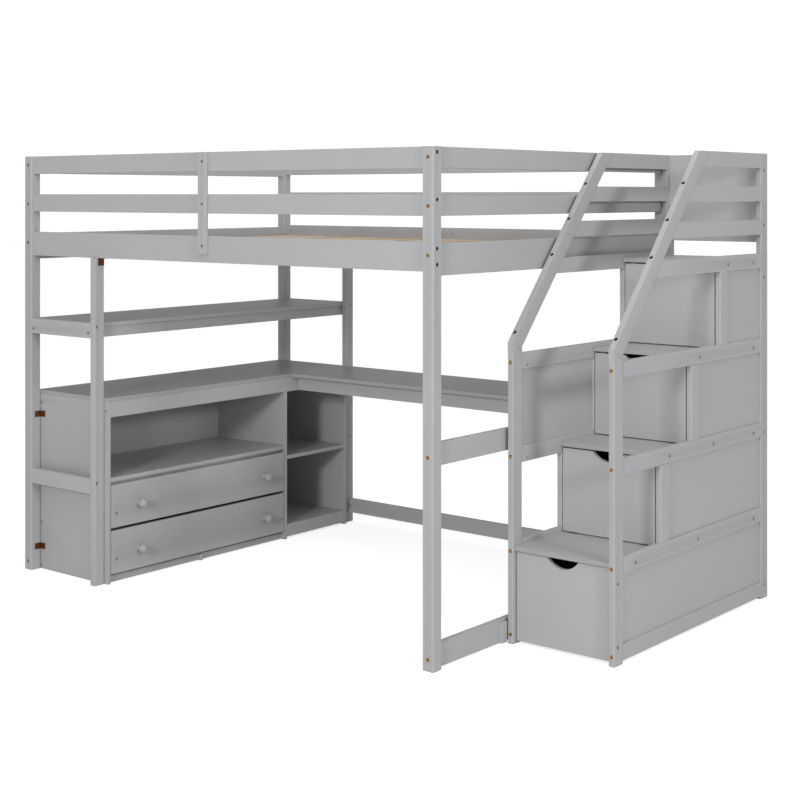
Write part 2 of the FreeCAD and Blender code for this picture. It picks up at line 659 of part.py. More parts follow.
def bed_fasteners():
    """Bolts on the posts' front faces and barrel nuts on the right end."""
    near = BED_L - POST / 2
    for z in (1565.0, 1416.0, 1265.0, 650.0, 37.0):
        bolt("front_right_post", V(near, 0, z), Y_AXIS * -1)
    for z in (1565.0, 1415.0, 1265.0, 33.0):
        bolt("front_left_post", V(POST / 2, 0, z), Y_AXIS * -1)
    for z in (1580.0, 1435.0, 1286.0, 1237.0):
        barrel_nut("front_right_post", V(BED_L, POST / 2, z), X_AXIS)
        barrel_nut("back_left_post", V(0, BED_W - POST / 2, z), X_AXIS * -1)
    for z in (1565.0, 1418.0, 1273.0):
        side_bolt("front_guard_stile", V(GUARD_STILE_X + GUARD_STILE_W / 2, 0, z), Y_AXIS * -1)
    for x in (POST + 13.0, DESK_POST_X - 13.0):
        side_bolt("end_cross_rails", V(x, 0, 935.0), Y_AXIS * -1)
    for z in (959.0, 380.0):
        side_bolt("desk_posts", V(DESK_POST_X + DESK_POST_T, 8.5, z), X_AXIS)
        side_bolt("desk_posts", V(DESK_POST_X + DESK_POST_T, BED_W - POST / 2, z), X_AXIS)
    rail_face = BED_W - LONG_SET - RAIL_T
    rail_mid = BACK_RAIL_LOW[0] + BACK_RAIL_LOW[1] / 2
    side_bolt("back_lower_rail", V(DESK_POST_X + DESK_POST_T + 12.0, rail_face, rail_mid), Y_AXIS * -1)
    for z in (645.0, 181.0, 12.0):
        blind_hole("cabinet_end_panel", V(POST + 5.0, CAB_Y0, z), Y_AXIS * -1, SCREW_R)
    blind_hole("cabinet_end_panel", V(CAB_X1 - 8.0, CAB_Y0, 645.0), Y_AXIS * -1, SCREW_R)
    for x in (POST + 33.0, BED_L / 2, BED_L - POST - 33.0):
        blind_hole("back_bed_rail", V(x, rail_face, 1285.0), Y_AXIS * -1)
    for name, y in (("front_left_post", POST / 2), ("back_left_post", BED_W - POST + 8.0)):
        blind_hole(name, V(POST, y, 1313.0), X_AXIS)


def stair_fasteners():
    """Bolts through the side frames into treads and rails, and nuts along the handrails."""
    side_points = []
    for step in (1, 2, 3, 4):
        z = tread_z(step) - 1.0
        first = 520.0 if step == 1 else door_face(step) + STILE_W + 5.0
        last = STILE_B0 - 59.0
        side_points.append((first, z))
        side_points.append((last, z))
        if step < 3:
            side_points.append(((first + last) / 2, z))
    stile_mid = STAIR_Y0 + 23.0
    side_points += [(stile_mid, 252.0), (stile_mid, 57.0)]
    back_y = BACK_BOARD_Y + BOARD / 2
    side_points += [(back_y, z) for z in (1537.0, 1340.0, 1153.0, 596.0, 48.0)]
    faces = {"stair_left": (STAIR_X0, X_AXIS * -1), "stair_right": (STAIR_X1, X_AXIS)}
    for name, (x, out) in faces.items():
        for y, z in side_points:
            side_bolt(name + "_frame", V(x, y, z), out)
        for z in (894.0, 592.0):
            blind_hole(name + "_frame", V(x - out.x * FRAME_T, STAIR_Y0 + STILE_W + 30.0, z), out * -1)
        mid = x - out.x * FRAME_T / 2
        for z in (909.0, 605.0, 300.0, 31.0):
            bolt(name + "_frame", V(mid, STAIR_Y0, z), Y_AXIS * -1)
        lean = math.atan(SLOPE)
        out_face = V(0, -math.sin(lean), math.cos(lean))
        for z in (1489.0, 1369.0, 1250.0, 1005.0):
            barrel_nut(name + "_handrail", V(mid, hand_front(z), z), out_face)


# ---------------------------------------------------------------- export
def finish_node(name, solids):
    """Applies the node's drilled holes and returns its shape in the row frame."""
    done = []
    for solid in solids:
        near = [c for c in CUTTERS.get(name, []) if c.BoundBox.intersect(solid.BoundBox)]
        done += solid.cut(near).Solids if near else [solid]
    shape = Part.makeCompound(done)
    shape.translate(ORIGIN * -1)
    return shape


def main():
    os.makedirs("parts", exist_ok=True)
    posts()
    long_rails()
    end_rails()
    slats()
    shelf()
    desk()
    cabinet()
    cabinet_drawers()
    stair_frames()
    treads()
    doors()
    stair_drawer()
    brackets()
    bed_fasteners()
    stair_fasteners()
    for name, solids in NODES.items():
        finish_node(name, solids).exportStep("parts/%s.step" % name)
        print(name, len(solids))


main()
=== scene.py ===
"""Loft bed with an L-shaped desk, shelf, drawer cabinet and storage stair, dressed on its fixed frame."""
import logging
import math
from dataclasses import dataclass, field
from enum import Enum
from typing import Callable, Iterable, Sequence

import bpy
from mathutils import Matrix, Vector


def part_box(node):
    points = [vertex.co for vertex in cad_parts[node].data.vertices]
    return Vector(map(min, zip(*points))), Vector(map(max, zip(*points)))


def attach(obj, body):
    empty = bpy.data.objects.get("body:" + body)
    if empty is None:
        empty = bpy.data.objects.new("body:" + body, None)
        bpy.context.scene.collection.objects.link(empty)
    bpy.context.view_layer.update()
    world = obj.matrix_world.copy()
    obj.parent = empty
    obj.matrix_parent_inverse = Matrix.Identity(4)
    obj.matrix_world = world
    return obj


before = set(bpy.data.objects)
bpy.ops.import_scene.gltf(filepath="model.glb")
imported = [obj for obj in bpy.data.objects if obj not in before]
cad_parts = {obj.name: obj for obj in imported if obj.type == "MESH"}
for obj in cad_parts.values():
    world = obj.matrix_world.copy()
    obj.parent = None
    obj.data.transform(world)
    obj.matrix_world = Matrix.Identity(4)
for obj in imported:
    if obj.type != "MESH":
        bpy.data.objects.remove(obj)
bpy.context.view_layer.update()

LOG = logging.getLogger("loft_bed")

# Sockets of a Mix node that mixes colours.
COLOUR_A = 6
COLOUR_B = 7
COLOUR_OUT = 2
# Pointiness that a flat face has, and where in a mask's width its edges start to show.
FLAT = 0.5
EDGE_START = 0.2
# Edges that turn by more than SHARP are eased, and those under SMOOTH are shaded round.
SHARP = math.radians(35.0)
SMOOTH = math.radians(40.0)
# Steps per metre of the grid on which two corners count as one.
WELD_GRID = 20000
# Turn in radians from one screw's cross to the next.
CROSS_TURN = 0.7
# Part of a normal along an axis from which its face counts as square to the axis.
SQUARE = 0.9


# ------------------------------------------------------------------ choices and node helpers
class Grain(Enum):
    """Which way the wood under the finish runs, as the axis of its long streaks."""

    ALONG_X = 0
    ALONG_Y = 1
    ALONG_Z = 2

    @property
    def letter(self) -> str:
        """The axis as a small letter."""
        return "xyz"[self.value]


class Metal(Enum):
    """Platings of the fittings, as their materials' names."""

    COPPER = "copper_head"
    OILED = "oiled_nut"
    BRONZE = "bronze_plate"
    ZINC = "zinc_plate"


@dataclass
class Graph:
    """A material's node tree with short helpers for building it.

    Args:
        name: the material's name.
    """

    name: str
    material: bpy.types.Material = field(init=False)

    def __post_init__(self) -> None:
        """Makes the empty material with its shader and output."""
        self.material = bpy.data.materials.new(self.name)
        self.material.use_nodes = True
        self.tree = self.material.node_tree
        self.shader = self.tree.nodes["Principled BSDF"]

    def node(self, kind: str, **inputs: object) -> bpy.types.Node:
        """Adds a node.

        Args:
            kind: the node's type name without its ShaderNode prefix.
            inputs: input values by name, with underscores for spaces.

        Returns:
            The new node.
        """
        made = self.tree.nodes.new("ShaderNode" + kind)
        for key, value in inputs.items():
            made.inputs[key.replace("_", " ")].default_value = value
        return made

    def link(self, source: bpy.types.NodeSocket, target: bpy.types.NodeSocket) -> None:
        """Joins an output to an input."""
        self.tree.links.new(source, target)

    def coords(self, scale: Sequence[float] = (1.0, 1.0, 1.0)) -> bpy.types.NodeSocket:
        """Object coordinates through a mapping.

        Args:
            scale: the pattern's scale along each axis.

        Returns:
            The mapped vector.
        """
        place = self.node("TexCoord")
        mapping = self.node("Mapping", Scale=tuple(scale))
        self.link(place.outputs["Object"], mapping.inputs["Vector"])
        return mapping.outputs["Vector"]

    def noise(self, vector: bpy.types.NodeSocket, scale: float, detail: float,
              rough: float = 0.55) -> bpy.types.NodeSocket:
        """A noise texture's value.

        Args:
            vector: where it is read.
            scale: features per metre, before the mapping's own scale.
            detail: octaves.
            rough: how strong the fine octaves are.

        Returns:
            The factor output.
        """
        made = self.node("TexNoise", Scale=scale, Detail=detail, Roughness=rough)
        self.link(vector, made.inputs["Vector"])
        return made.outputs["Fac"]

    def ramp(self, value: bpy.types.NodeSocket, stops: Sequence[tuple]) -> bpy.types.NodeSocket:
        """A colour ramp.

        Args:
            value: the factor.
            stops: (position, colour) pairs in order.

        Returns:
            The colour output.
        """
        made = self.node("ValToRGB")
        elements = made.color_ramp.elements
        while len(elements) < len(stops):
            elements.new(0.5)
        for element, (position, colour) in zip(elements, stops):
            element.position = position
            element.color = (*colour, 1.0)
        self.link(value, made.inputs["Fac"])
        return made.outputs["Color"]

    def feed(self, target: bpy.types.NodeSocket, value: object) -> None:
        """Gives an input its value.

        Args:
            target: the input.
            value: an output to join to it, a colour or a number.
        """
        if isinstance(value, bpy.types.NodeSocket):
            self.link(value, target)
        elif isinstance(value, tuple):
            target.default_value = (*value, 1.0)
        else:
            target.default_value = value

    def remap(self, value: bpy.types.NodeSocket, low: float, high: float) -> bpy.types.NodeSocket:
        """Maps 0 to 1 onto low to high.

        Args:
            value: the socket to map.
            low: what 0 becomes.
            high: what 1 becomes.

        Returns:
            The mapped value.
        """
        made = self.node("MapRange", To_Min=low, To_Max=high)
        self.link(value, made.inputs["Value"])
        return made.outputs["Result"]

    def maths(self, kind: str, a: bpy.types.NodeSocket, b: object) -> bpy.types.NodeSocket:
        """A math node of two values.

        Args:
            kind: the operation.
            a: the first value.
            b: the second, a socket or a number.

        Returns:
            The result.
        """
        made = self.tree.nodes.new("ShaderNodeMath")
        made.operation = kind
        self.feed(made.inputs[0], a)
        self.feed(made.inputs[1], b)
        return made.outputs[0]

    def mix(self, factor: object, a: object, b: object, kind: str = "MIX") -> bpy.types.NodeSocket:
        """Mixes two colours, each a socket or a colour.

        Args:
            factor: how much of b shows, a socket or a number.
            a: the first colour.
            b: the second colour.
            kind: the way of mixing.

        Returns:
            The mixed colour.
        """
        made = self.tree.nodes.new("ShaderNodeMix")
        made.data_type = "RGBA"
        made.blend_type = kind
        self.feed(made.inputs[0], factor)
        self.feed(made.inputs[COLOUR_A], a)
        self.feed(made.inputs[COLOUR_B], b)
        return made.outputs[COLOUR_OUT]

    def bump(self, height: bpy.types.NodeSocket, depth: float, strength: float = 1.0) -> None:
        """Feeds the shader's normal from a height.

        Args:
            height: the height field, 0 to 1.
            depth: what 1 stands for, in metres.
            strength: how much of it shows.
        """
        made = self.node("Bump", Strength=strength, Distance=depth)
        self.link(height, made.inputs["Height"])
        self.link(made.outputs["Normal"], self.shader.inputs["Normal"])

    def edge_highlight_mask(self, width: float) -> bpy.types.NodeSocket:
        """A mask of 1 on sharp convex edges and 0 on flats, from the mesh's own pointiness; the finishes
        paint a highlight through it.

        Args:
            width: how soft the change is.

        Returns:
            The mask.
        """
        shape = self.tree.nodes.new("ShaderNodeNewGeometry")
        start = FLAT + width * EDGE_START
        made = self.node("MapRange", From_Min=start, From_Max=FLAT + width, To_Min=0.0, To_Max=1.0)
        self.link(shape.outputs["Pointiness"], made.inputs["Value"])
        return made.outputs["Result"]


# ------------------------------------------------------------------ finishes
def stretched(grain: Grain, across: float, along: float) -> tuple:
    """A mapping scale, across the grain on two axes and along it on the third."""
    return tuple(along if axis == grain.value else across for axis in range(3))


@dataclass(frozen=True)
class PaintedWood:
    """Satin paint over sanded wood, with faint grain, brush levelling, soft colour drift and a painted
    highlight on its sharp edges.

    Args:
        name: the material's name.
        colour: the paint's colour.
        grain: the axis that the wood runs along.
        roughness: the paint's mean roughness.
        grain_depth: how deep the grain shows through, in metres.
        drift: how dark and how light the colour drifts, as factors.
        highlight_tint: the colour factor of the painted highlight on sharp edges.
        streaks: scale of the wide grain, across it and along it.
        fibres: scale of the fine grain, across it and along it.
        edge_width: how far the painted edge highlight reaches into the flats.
    """

    name: str
    colour: tuple = (0.392, 0.394, 0.402)
    grain: Grain = Grain.ALONG_X
    roughness: float = 0.50
    grain_depth: float = 0.00006
    drift: tuple = (0.972, 1.028)
    highlight_tint: tuple = (1.16, 1.16, 1.165)
    streaks: tuple = (55.0, 2.2)
    fibres: tuple = (160.0, 9.0)
    edge_width: float = 0.09

    def build(self) -> bpy.types.Material:
        """Makes the material.

        Returns:
            The finished material.
        """
        g = Graph(self.name)
        wide = g.noise(g.coords(stretched(self.grain, *self.streaks)), 3.2, 5.0, 0.6)
        fine = g.noise(g.coords(stretched(self.grain, *self.fibres)), 4.0, 3.0, 0.6)
        cloud = g.noise(g.coords(), 2.3, 2.0)
        level = g.noise(g.coords(), 42.0, 2.0)
        dark, pale = (tuple(part * factor for part in self.colour) for factor in self.drift)
        base = g.ramp(cloud, [(0.3, dark), (0.7, pale)])
        shade = g.ramp(wide, [(0.28, (0.955, 0.955, 0.958)), (0.62, (1.0, 1.0, 1.0))])
        tone = g.mix(0.75, base, shade, "MULTIPLY")
        # Sharp convex edges get a lighter tone, which is a painted highlight.
        edge = g.edge_highlight_mask(self.edge_width)
        light = g.mix(1.0, tone, self.highlight_tint, "MULTIPLY")
        g.link(g.mix(edge, tone, light), g.shader.inputs["Base Color"])
        g.link(g.remap(level, self.roughness - 0.07, self.roughness + 0.08), g.shader.inputs["Roughness"])
        height = g.maths("ADD", g.maths("MULTIPLY", wide, 0.6), g.maths("MULTIPLY", fine, 0.4))
        height = g.maths("ADD", height, g.maths("MULTIPLY", level, 0.35))
        g.bump(height, self.grain_depth, 0.8)
        g.shader.inputs["Specular IOR Level"].default_value = 0.35
        g.shader.inputs["Coat Weight"].default_value = 0.04
        g.shader.inputs["Coat Roughness"].default_value = 0.3
        return g.material


@dataclass(frozen=True)
class BarePine:
    """Sanded pine with growth rings, knots and open pores.

    Args:
        name: the material's name.
        grain: the axis that the wood runs along.
        late: colour of the dark late wood.
        body: colour of most of the wood.
        early: colour of the pale early wood.
        knot: colour of the knots.
        ring_scale: growth rings, as the wave's scale.
        knot_scale: knots per metre across the grain.
        pores: scale of the open pores, across the grain and along it.
    """

    name: str
    grain: Grain = Grain.ALONG_Y
    late: tuple = (0.58, 0.43, 0.28)
    body: tuple = (0.70, 0.57, 0.41)
    early: tuple = (0.77, 0.66, 0.50)
    knot: tuple = (0.23, 0.115, 0.05)
    ring_scale: float = 26.0
    knot_scale: float = 3.1
    pores: tuple = (120.0, 6.0)

    def build(self) -> bpy.types.Material:
        """Makes the material.

        Returns:
            The finished material.
        """
        g = Graph(self.name)
        long_way = g.coords(stretched(self.grain, 1.0, 0.07))
        warp = g.noise(long_way, 5.0, 3.0)
        rings = g.node("TexWave", Scale=self.ring_scale, Distortion=5.5, Detail=3.0, Detail_Scale=1.2)
        rings.bands_direction = "X" if self.grain is not Grain.ALONG_X else "Y"
        g.link(long_way, rings.inputs["Vector"])
        band = g.ramp(rings.outputs["Fac"], [(0.15, self.late), (0.55, self.body), (0.9, self.early)])
        tint = g.ramp(warp, [(0.3, (0.90, 0.87, 0.82)), (0.7, (1.06, 1.03, 1.0))])
        tone = g.mix(0.8, band, tint, "MULTIPLY")
        knots = g.node("TexVoronoi", Scale=self.knot_scale, Randomness=1.0)
        g.link(g.coords(stretched(self.grain, 1.0, 0.42)), knots.inputs["Vector"])
        eye = g.ramp(knots.outputs["Distance"], [(0.035, (1.0, 1.0, 1.0)), (0.085, (0.0, 0.0, 0.0))])
        knotted = g.mix(g.maths("MULTIPLY", eye, 0.75), tone, self.knot)
        g.link(knotted, g.shader.inputs["Base Color"])
        pores = g.noise(g.coords(stretched(self.grain, *self.pores)), 5.0, 4.0)
        g.link(g.remap(pores, 0.5, 0.72), g.shader.inputs["Roughness"])
        g.bump(g.maths("ADD", pores, rings.outputs["Fac"]), 0.00012, 0.7)
        return g.material


@dataclass(frozen=True)
class PlatedMetal:
    """Plated or oiled metal with a painted highlight on its sharp edges, fine scratches and dull spots.

    Args:
        name: the material's name.
        colour: the clean metal's colour.
        dark: the dull spots' colour.
        roughness: the clean metal's roughness.
        metallic: how metallic the shader is.
        scratch: scratches per metre.
        spot: dull spots per metre.
        edge_width: how far the painted edge highlight reaches into the flats.
        highlight_gain: the colour factor of the painted highlight on sharp edges.
    """

    name: str
    colour: tuple
    dark: tuple
    roughness: float = 0.32
    metallic: float = 1.0
    scratch: float = 900.0
    spot: float = 190.0
    edge_width: float = 0.12
    highlight_gain: tuple = (1.35, 1.33, 1.3)

    def build(self) -> bpy.types.Material:
        """Makes the material.

        Returns:
            The finished material.
        """
        g = Graph(self.name)
        spots = g.noise(g.coords(), self.spot, 4.0)
        lines = g.noise(g.coords((1.0, 1.0, 0.06)), self.scratch, 2.0)
        tone = g.ramp(spots, [(0.32, self.dark), (0.62, self.colour)])
        # Sharp convex edges get a lighter tone, which is a painted highlight.
        edge = g.edge_highlight_mask(self.edge_width)
        bright = g.mix(1.0, tone, self.highlight_gain, "MULTIPLY")
        g.link(g.mix(edge, tone, bright), g.shader.inputs["Base Color"])
        g.link(g.remap(spots, self.roughness - 0.08, self.roughness + 0.14), g.shader.inputs["Roughness"])
        g.shader.inputs["Metallic"].default_value = self.metallic
        g.bump(g.maths("ADD", lines, spots), 0.00002, 0.6)
        return g.material


@dataclass(frozen=True)
class PaleFloor:
    """Plain matt studio floor.

    Args:
        name: the material's name.
        glow: strength of the light that it gives to the room.
        backdrop: strength that it shows to the camera.
        dark: its darkest tone.
        pale: its palest tone.
    """

    name: str = "studio_floor"
    glow: float = 0.10
    backdrop: float = 0.72
    dark: tuple = (0.59, 0.59, 0.59)
    pale: tuple = (0.61, 0.61, 0.61)

    def build(self) -> bpy.types.Material:
        """Makes the material.

        Returns:
            The finished material.
        """
        g = Graph(self.name)
        cloud = g.noise(g.coords(), 0.7, 2.0)
        tone = g.ramp(cloud, [(0.0, self.dark), (1.0, self.pale)])
        g.link(tone, g.shader.inputs["Base Color"])
        g.shader.inputs["Emission Color"].default_value = (1.0, 1.0, 1.0, 1.0)
        seen = g.remap(g.node("LightPath").outputs["Is Camera Ray"], self.glow, self.backdrop)
        g.link(seen, g.shader.inputs["Emission Strength"])
        g.shader.inputs["Roughness"].default_value = 0.9
        return g.material


# ------------------------------------------------------------------ the bed's palette
# Deeper grey for the upward faces of the desk and shelf boards: painted shade, not a different finish.
PAINTED_SHADE_GREY = (0.245, 0.247, 0.251)
BOARD_GRAIN_DEPTH = 0.000025
PLATINGS = {
    Metal.COPPER: PlatedMetal(Metal.COPPER.value, (0.50, 0.29, 0.11), (0.23, 0.12, 0.05), 0.40),
    Metal.OILED: PlatedMetal(Metal.OILED.value, (0.030, 0.027, 0.025), (0.012, 0.01, 0.01), 0.5),
    Metal.BRONZE: PlatedMetal(Metal.BRONZE.value, (0.22, 0.105, 0.055), (0.105, 0.045, 0.026), 0.45),
    Metal.ZINC: PlatedMetal(Metal.ZINC.value, (0.62, 0.63, 0.65), (0.42, 0.43, 0.45), 0.30),
}


@dataclass
class Palette:
    """Every finish of the bed, built once and kept by name.

    Args:
        made: the materials built so far.
    """

    made: dict = field(default_factory=dict)

    def shared(self, finish: object) -> bpy.types.Material:
        """Builds a finish the first time that it is asked for.

        Args:
            finish: one of the finish classes above, filled in.

        Returns:
            The shared material.
        """
        if finish.name not in self.made:
            self.made[finish.name] = finish.build()
        return self.made[finish.name]

    def paint(self, grain: Grain, board: bool = False) -> bpy.types.Material:
        """The grey paint with its grain along an axis.

        Args:
            grain: the axis.
            board: True for smooth manufactured board, False for solid wood.

        Returns:
            The shared material.
        """
        if not board:
            return self.shared(PaintedWood(f"grey_paint_on_wood_{grain.letter}", grain=grain))
        return self.shared(PaintedWood(f"grey_paint_on_board_{grain.letter}", grain=grain, roughness=0.38,
                                       grain_depth=BOARD_GRAIN_DEPTH))

    def desk_top(self, grain: Grain) -> bpy.types.Material:
        """The deeper grey painted on the upward faces of the desk and shelf boards as painted shade, with its
        pattern along an axis.
        """
        return self.shared(PaintedWood(f"grey_painted_shade_top_{grain.letter}", PAINTED_SHADE_GREY, grain, roughness=0.40,
                                       grain_depth=BOARD_GRAIN_DEPTH))

    def pine(self, grain: Grain) -> bpy.types.Material:
        """Bare pine with its grain along an axis."""
        return self.shared(BarePine(f"bare_pine_{grain.letter}", grain))

    def metal(self, kind: Metal) -> bpy.types.Material:
        """One of the plated metals."""
        return self.shared(PLATINGS[kind])


# ------------------------------------------------------------------ modelling helpers
def fresh(kind: Callable, **settings: object) -> bpy.types.Object:
    """Adds one primitive, without a UV map, with nothing else selected.

    Args:
        kind: the bpy.ops.mesh primitive operator.
        settings: its settings.

    Returns:
        The new object, active and selected.
    """
    bpy.ops.object.select_all(action="DESELECT")
    kind(calc_uvs=False, **settings)
    return bpy.context.object


def pick_faces(piece: bpy.types.Object, wanted: Callable[[bpy.types.MeshPolygon], bool]) -> None:
    """Selects only the faces that a test accepts, ready for edit mode.

    Args:
        piece: the object.
        wanted: the test of one face.
    """
    for group in (piece.data.vertices, piece.data.edges):
        for element in group:
            element.select = False
    for face in piece.data.polygons:
        face.select = wanted(face)


def apply_modifiers(piece: bpy.types.Object) -> None:
    """Applies every modifier of a piece in order.

    Args:
        piece: the object.
    """
    bpy.ops.object.select_all(action="DESELECT")
    piece.select_set(True)
    bpy.context.view_layer.objects.active = piece
    for modifier in list(piece.modifiers):
        bpy.ops.object.modifier_apply(modifier=modifier.name)


def soften(piece: bpy.types.Object, width: float, segments: int = 2) -> None:
    """Bevels a piece's sharp edges and shades its rounds smooth.

    Args:
        piece: the object.
        width: the bevel's width in metres.
        segments: its segments.
    """
    bevel = piece.modifiers.new("ease", "BEVEL")
    bevel.width = width
    bevel.segments = segments
    bevel.limit_method = "ANGLE"
    bevel.angle_limit = SHARP
    apply_modifiers(piece)
    bpy.ops.object.shade_smooth_by_angle(angle=SMOOTH)


def join(pieces: Sequence[bpy.types.Object], name: str) -> bpy.types.Object:
    """Joins pieces into one object with its transforms applied.

    Args:
        pieces: the objects.
        name: the joined object's name.

    Returns:
        The joined object, at the origin.
    """
    bpy.ops.object.select_all(action="DESELECT")
    for piece in pieces:
        piece.select_set(True)
    bpy.context.view_layer.objects.active = pieces[0]
    if len(pieces) > 1:
        bpy.ops.object.join()
    bpy.ops.object.transform_apply(location=True, rotation=True, scale=True)
    whole = bpy.context.object
    whole.name = name
    whole.data.name = name
    return whole


@dataclass(frozen=True)
class Screw:
    """A countersunk or raised screw head with a cross recess.

    Args:
        radius: the head's radius in metres.
        rise: how far its crown stands above the surface.
        recess: how deep the cross is cut.
        thick: the head's thickness at its rim.
        rim_up: the rim's height, as a part of the rise; the crown takes the rest.
        slope: width of the slope from rim to crown, in radii.
        arm: length of the cross's arms from end to end, in radii.
        arm_wide: their width, in radii.
        ease: width of the bevel on its edges, in radii.
        sides: sides of its round.
    """

    radius: float = 0.0030
    rise: float = 0.0008
    recess: float = 0.0011
    thick: float = 0.0012
    rim_up: float = 0.4
    slope: float = 0.34
    arm: float = 1.05
    arm_wide: float = 0.22
    ease: float = 0.06
    sides: int = 20

    def head(self) -> bpy.types.Object:
        """Turns and cuts one head, pointing along +Z with the surface at z = 0.

        Returns:
            The head.
        """
        body = fresh(bpy.ops.mesh.primitive_cylinder_add, vertices=self.sides, radius=self.radius,
                     depth=self.thick, location=(0.0, 0.0, self.rise * self.rim_up - self.thick / 2))
        pick_faces(body, lambda face: face.normal.z > SQUARE)
        bpy.ops.object.mode_set(mode="EDIT")
        bpy.ops.mesh.inset(thickness=self.radius * self.slope)
        bpy.ops.transform.translate(value=(0.0, 0.0, self.rise * (1.0 - self.rim_up)))
        bpy.ops.object.mode_set(mode="OBJECT")
        for turn in (0.0, math.pi / 2):
            blade = fresh(bpy.ops.mesh.primitive_cube_add, size=1.0, rotation=(0.0, 0.0, turn),
                          location=(0.0, 0.0, self.rise))
            blade.scale = (self.radius * self.arm, self.radius * self.arm_wide, self.recess * 2)
            cut = body.modifiers.new("cross", "BOOLEAN")
            cut.operation = "DIFFERENCE"
            cut.object = blade
            cut.solver = "EXACT"
            apply_modifiers(body)
            bpy.data.objects.remove(blade, do_unlink=True)
        soften(body, self.radius * self.ease, 1)
        return body

    def row(self, places: Iterable[Vector], out: Vector, name: str) -> bpy.types.Object:
        """Sets a head at each place and joins them.

        Args:
            places: points on the surface.
            out: the surface's outward normal.
            name: the joined object's name.

        Returns:
            One object with every head.
        """
        first = self.head()
        turn = out.to_track_quat("Z", "Y")
        heads = []
        for index, place in enumerate(places):
            copy = first.copy()
            copy.data = first.data.copy()
            bpy.context.scene.collection.objects.link(copy)
            twist = Matrix.Rotation(index * CROSS_TURN, 4, "Z")
            copy.matrix_world = Matrix.Translation(place) @ turn.to_matrix().to_4x4() @ twist
            heads.append(copy)
        bpy.data.objects.remove(first, do_unlink=True)
        return join(heads, name)


def spread(start: Vector, end: Vector, count: int) -> list[Vector]:
    """Points at even steps from start to end, both included."""
    return [start.lerp(end, index / (count - 1)) for index in range(count)]


# ------------------------------------------------------------------ dressing of the carried nodes
def members(mesh: bpy.types.Mesh) -> list[list[int]]:
    """Groups a mesh's faces into its separate boards.

    Args:
        mesh: a carried mesh whose boards may share a node.

    Returns:
        Lists of face indices, one for each board.
    """
    parent = {}

    def root(key: tuple) -> tuple:
        """Follows a corner to the one that stands for its board.

        Args:
            key: the corner, on the weld grid.

        Returns:
            The corner at the root.
        """
        while parent.setdefault(key, key) != key:
            parent[key] = parent[parent[key]]
            key = parent[key]
        return key

    keys = [tuple(round(value * WELD_GRID) for value in vertex.co) for vertex in mesh.vertices]
    for face in mesh.polygons:
        first = root(keys[face.vertices[0]])
        for index in face.vertices[1:]:
            parent[root(keys[index])] = first
    groups = {}
    for face in mesh.polygons:
        groups.setdefault(root(keys[face.vertices[0]]), []).append(face.index)
    return list(groups.values())


def corners(mesh: bpy.types.Mesh, faces: Sequence[int]) -> list[Vector]:
    """Every corner point of some faces, with repeats."""
    return [mesh.vertices[index].co for face in faces for index in mesh.polygons[face].vertices]


def extent(mesh: bpy.types.Mesh, faces: Sequence[int]) -> tuple[Vector, Vector]:
    """The box of one board of a mesh.

    Args:
        mesh: the mesh.
        faces: the board's face indices.

    Returns:
        Its lowest and highest corner.
    """
    points = corners(mesh, faces)
    low = Vector(min(point[axis] for point in points) for axis in range(3))
    high = Vector(max(point[axis] for point in points) for axis in range(3))
    return low, high


def long_axis(mesh: bpy.types.Mesh, faces: Sequence[int]) -> Grain:
    """The grain along the axis on which a board is longest.

    Args:
        mesh: the mesh.
        faces: the board's face indices.

    Returns:
        The grain along that axis.
    """
    low, high = extent(mesh, faces)
    sizes = list(high - low)
    return Grain(sizes.index(max(sizes)))


def dress(node: str, material: bpy.types.Material) -> None:
    """Finishes every slot of a carried node alike.

    Args:
        node: the node's name.
        material: its finish.
    """
    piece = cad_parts[node]
    if not piece.material_slots:
        piece.data.materials.append(material)
    for slot in piece.material_slots:
        slot.material = material
    LOG.info("%s is finished in %s", node, material.name)


@dataclass
class SubAssembly:
    """A group of carried nodes, their finishes and the small pieces added to them.

    Args:
        palette: the finishes shared by the whole bed.
    """

    palette: Palette

    def solid_wood(self, *nodes: str) -> None:
        """Paints nodes of solid boards, each board with its grain along its length.

        Args:
            nodes: the nodes' names.
        """
        for node in nodes:
            dress(node, self.palette.paint(Grain.ALONG_X))
            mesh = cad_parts[node].data
            for grain in (Grain.ALONG_Y, Grain.ALONG_Z):
                mesh.materials.append(self.palette.paint(grain))
            for faces in members(mesh):
                grain = long_axis(mesh, faces)
                for index in faces:
                    mesh.polygons[index].material_index = grain.value

    def sheets(self, grain: Grain, *nodes: str) -> None:
        """Paints nodes of smooth manufactured board.

        Args:
            grain: the direction of the paint's pattern.
            nodes: the nodes' names.
        """
        for node in nodes:
            dress(node, self.palette.paint(grain, True))

    def fit(self, piece: bpy.types.Object, body: str, slot: str, metal: Metal) -> None:
        """Finishes an added piece and fixes it to a body.

        Args:
            piece: the joined piece, at the origin.
            body: the carried body that it moves with.
            slot: the record's material slot; not used.
            metal: its plating.
        """
        piece.data.materials.clear()
        piece.data.materials.append(self.palette.metal(metal))
        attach(piece, body)
        LOG.info("%s rides %s", piece.name, body)


